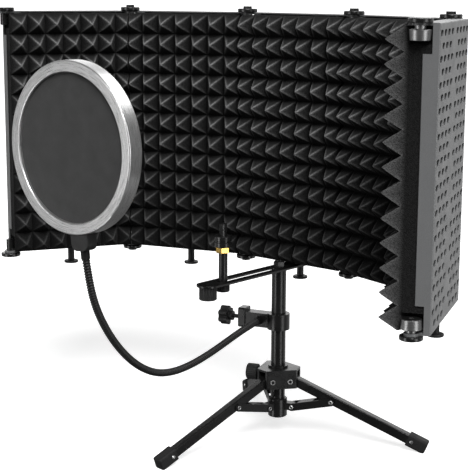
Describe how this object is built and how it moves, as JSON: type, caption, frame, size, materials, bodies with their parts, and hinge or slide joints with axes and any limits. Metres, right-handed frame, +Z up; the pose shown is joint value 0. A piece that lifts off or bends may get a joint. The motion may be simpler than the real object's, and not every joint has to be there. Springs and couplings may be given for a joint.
{
  "type": "microphone isolation shield",
  "caption": "Folding tabletop microphone isolation shield: hinged perforated panels lined with pyramid foam, tripod stand, slotted arm with microphone post, and pop filter on a gooseneck.",
  "frame": {"origin": "on the floor, under the middle of the whole object's bounding box", "axes": "+Z up, +X along the centre panel, -Y from the centre panel's foam towards the singer"},
  "size_m": [0.6537, 0.4691, 0.5355],
  "materials": {
    "shield_metal": "satin",
    "foam": "matte",
    "knob_black": "gloss",
    "sleeve_metal": "satin",
    "satin_black": "satin",
    "foot_black": "matte",
    "rubber_black": "matte",
    "rivet_steel": "satin",
    "brass": "polished",
    "hose_black": "satin",
    "rim_silver": "satin",
    "mesh_black": "matte"
  },
  "bodies": {
    "stand": {"pole": "satin_black", "pole_collar": "satin_black", "collar_pins": "rivet_steel", "pole_top_nut": "satin_black"},
    "head": {"support_arm": "satin_black", "back_plate_3": "shield_metal", "foam_pad_3": "foam", "panel_foot_3": "foot_black", "hinge_sleeves_3": "sleeve_metal"},
    "panel_1": {"back_plate_1": "shield_metal", "foam_pad_1": "foam", "panel_foot_1": "foot_black", "hinge_sleeves_1": "sleeve_metal"},
    "panel_2": {"back_plate_2": "shield_metal", "foam_pad_2": "foam", "panel_foot_2": "foot_black", "hinge_sleeves_2": "sleeve_metal"},
    "panel_4": {"back_plate_4": "shield_metal", "foam_pad_4": "foam", "panel_foot_4": "foot_black", "hinge_sleeves_4": "sleeve_metal"},
    "panel_5": {"back_plate_5": "shield_metal", "foam_pad_5": "foam", "panel_foot_5": "foot_black", "hinge_sleeves_5": "sleeve_metal"},
    "hinge_screws_0": {"hinge_knobs_0": "knob_black"},
    "hinge_screws_1": {"hinge_knobs_1": "knob_black"},
    "hinge_screws_2": {"hinge_knobs_2": "knob_black"},
    "hinge_screws_3": {"hinge_knobs_3": "knob_black"},
    "hinge_screws_4": {"hinge_knobs_4": "knob_black"},
    "hinge_screws_5": {"hinge_knobs_5": "knob_black"},
    "hub": {"tripod_hub": "satin_black", "hub_pins": "rivet_steel"},
    "hub_lock": {"hub_lock_knob": "foot_black"},
    "folding_leg_1": {"leg_1": "satin_black", "leg_foot_1": "rubber_black"},
    "folding_brace_1": {"leg_brace_1": "satin_black", "brace_rivet_1": "rivet_steel"},
    "folding_leg_2": {"leg_2": "satin_black", "leg_foot_2": "rubber_black"},
    "folding_brace_2": {"leg_brace_2": "satin_black", "brace_rivet_2": "rivet_steel"},
    "folding_leg_3": {"leg_3": "satin_black", "leg_foot_3": "rubber_black"},
    "folding_brace_3": {"leg_brace_3": "satin_black", "brace_rivet_3": "rivet_steel"},
    "post": {"mic_post": "satin_black", "brass_lock_nut": "brass", "thread_adapter": "satin_black"},
    "post_lock": {"post_knob": "foot_black"},
    "arm_lock": {"arm_knob": "foot_black"},
    "clamp": {"pop_clamp": "satin_black"},
    "clamp_screw": {"clamp_knob": "foot_black"},
    "neck": {"gooseneck": "hose_black", "gooseneck_ends": "hose_black"},
    "filter": {"pop_rim_front": "rim_silver", "pop_rim_back": "rim_silver", "pop_mesh_front": "mesh_black", "pop_mesh_back": "mesh_black", "pop_clip": "foot_black"}
  },
  "joints": [
    {"name": "shield_swivel", "type": "hinge", "parent": "stand", "child": "head", "pos_m": [0.0059, 0.1104, 0.216], "axis": [0, 0, 1], "range_deg": [-20, 20]},
    {"name": "panel_hinge_2", "type": "hinge", "parent": "head", "child": "panel_2", "pos_m": [-0.0766, 0.1434, 0.373], "axis": [0, 0, 1], "range_deg": [-18.5, 12.5]},
    {"name": "panel_hinge_1", "type": "hinge", "parent": "panel_2", "child": "panel_1", "pos_m": [-0.23307, 0.09105, 0.373], "axis": [0, 0, 1], "range_deg": [-43.5, 3]},
    {"name": "panel_hinge_3", "type": "hinge", "parent": "head", "child": "panel_4", "pos_m": [0.0884, 0.1434, 0.373], "axis": [0, 0, -1], "range_deg": [-15, 16]},
    {"name": "panel_hinge_4", "type": "hinge", "parent": "panel_4", "child": "panel_5", "pos_m": [0.24778, 0.1007, 0.373], "axis": [0, 0, -1], "range_deg": [-53, 3]},
    {"name": "hinge_screw_turn_0", "type": "hinge", "parent": "panel_1", "child": "hinge_screws_0", "pos_m": [-0.31054, -0.05464, 0.528], "axis": [0, 0, 1], "continuous": true},
    {"name": "hinge_screw_turn_1", "type": "hinge", "parent": "panel_1", "child": "hinge_screws_1", "pos_m": [-0.23307, 0.09105, 0.528], "axis": [0, 0, 1], "continuous": true},
    {"name": "hinge_screw_turn_2", "type": "hinge", "parent": "panel_2", "child": "hinge_screws_2", "pos_m": [-0.0766, 0.1434, 0.528], "axis": [0, 0, 1], "continuous": true},
    {"name": "hinge_screw_turn_3", "type": "hinge", "parent": "head", "child": "hinge_screws_3", "pos_m": [0.0884, 0.1434, 0.528], "axis": [0, 0, 1], "continuous": true},
    {"name": "hinge_screw_turn_4", "type": "hinge", "parent": "panel_4", "child": "hinge_screws_4", "pos_m": [0.24778, 0.1007, 0.528], "axis": [0, 0, 1], "continuous": true},
    {"name": "hinge_screw_turn_5", "type": "hinge", "parent": "panel_5", "child": "hinge_screws_5", "pos_m": [0.30959, -0.05229, 0.528], "axis": [0, 0, 1], "continuous": true},
    {"name": "hub_slide", "type": "slide", "parent": "stand", "child": "hub", "axis": [0, 0, 1], "range_m": [0, 0.038]},
    {"name": "hub_lock_turn", "type": "hinge", "parent": "hub", "child": "hub_lock", "pos_m": [-0.0247, 0.09804, 0.08], "axis": [-0.9272, -0.3746, 0], "continuous": true},
    {"name": "leg_fold_1", "type": "hinge", "parent": "hub", "child": "folding_leg_1", "pos_m": [0.00312, 0.09059, 0.075], "axis": [0.9903, -0.1392, 0], "range_deg": [-0.5, 20]},
    {"name": "brace_fold_1", "type": "hinge", "parent": "stand", "child": "folding_brace_1", "pos_m": [0.00312, 0.09059, 0.04], "axis": [-0.9903, 0.1392, 0], "range_deg": [-0.5, 28]},
    {"name": "leg_fold_2", "type": "hinge", "parent": "hub", "child": "folding_leg_2", "pos_m": [0.02444, 0.11789, 0.075], "axis": [-0.3746, 0.9272, 0], "range_deg": [-0.5, 20]},
    {"name": "brace_fold_2", "type": "hinge", "parent": "stand", "child": "folding_brace_2", "pos_m": [0.02444, 0.11789, 0.04], "axis": [0.3746, -0.9272, 0], "range_deg": [-0.5, 28]},
    {"name": "leg_fold_3", "type": "hinge", "parent": "hub", "child": "folding_leg_3", "pos_m": [-0.00986, 0.12271, 0.075], "axis": [-0.6157, -0.788, 0], "range_deg": [-0.5, 20]},
    {"name": "brace_fold_3", "type": "hinge", "parent": "stand", "child": "folding_brace_3", "pos_m": [-0.00986, 0.12271, 0.04], "axis": [0.6157, 0.788, 0], "range_deg": [-0.5, 28]},
    {"name": "post_slide", "type": "slide", "parent": "head", "child": "post", "axis": [0, 1, 0], "range_m": [0, 0.07]},
    {"name": "post_lock_turn", "type": "hinge", "parent": "post", "child": "post_lock", "pos_m": [0.0059, 0.0054, 0.21], "axis": [0, 0, 1], "continuous": true},
    {"name": "arm_lock_turn", "type": "hinge", "parent": "head", "child": "arm_lock", "pos_m": [0.0059, -0.0211, 0.207], "axis": [0, 0, 1], "continuous": true},
    {"name": "clamp_slide", "type": "slide", "parent": "stand", "child": "clamp", "axis": [0, 0, 1], "range_m": [-0.005, 0.03]},
    {"name": "clamp_screw_turn", "type": "hinge", "parent": "clamp", "child": "clamp_screw", "pos_m": [-0.06391, 0.08906, 0.149], "axis": [-0.9563, -0.2924, 0], "continuous": true},
    {"name": "gooseneck_turn", "type": "hinge", "parent": "clamp", "child": "neck", "pos_m": [-0.01259, 0.0922, 0.149], "axis": [0.2924, -0.9563, 0], "range_deg": [-20, 20]},
    {"name": "filter_swivel", "type": "hinge", "parent": "neck", "child": "filter", "pos_m": [0.01894, -0.2256, 0.2908], "axis": [-0.1219, 0, 0.9925], "range_deg": [-45, 45]}
  ],
  "couplings": [
    {"joint": "leg_fold_1", "follows": "hub_slide", "rad_per_m": 8.8139},
    {"joint": "brace_fold_1", "follows": "hub_slide", "rad_per_m": 12.392},
    {"joint": "leg_fold_2", "follows": "hub_slide", "rad_per_m": 8.8139},
    {"joint": "brace_fold_2", "follows": "hub_slide", "rad_per_m": 12.392},
    {"joint": "leg_fold_3", "follows": "hub_slide", "rad_per_m": 8.8139},
    {"joint": "brace_fold_3", "follows": "hub_slide", "rad_per_m": 12.392}
  ]
}
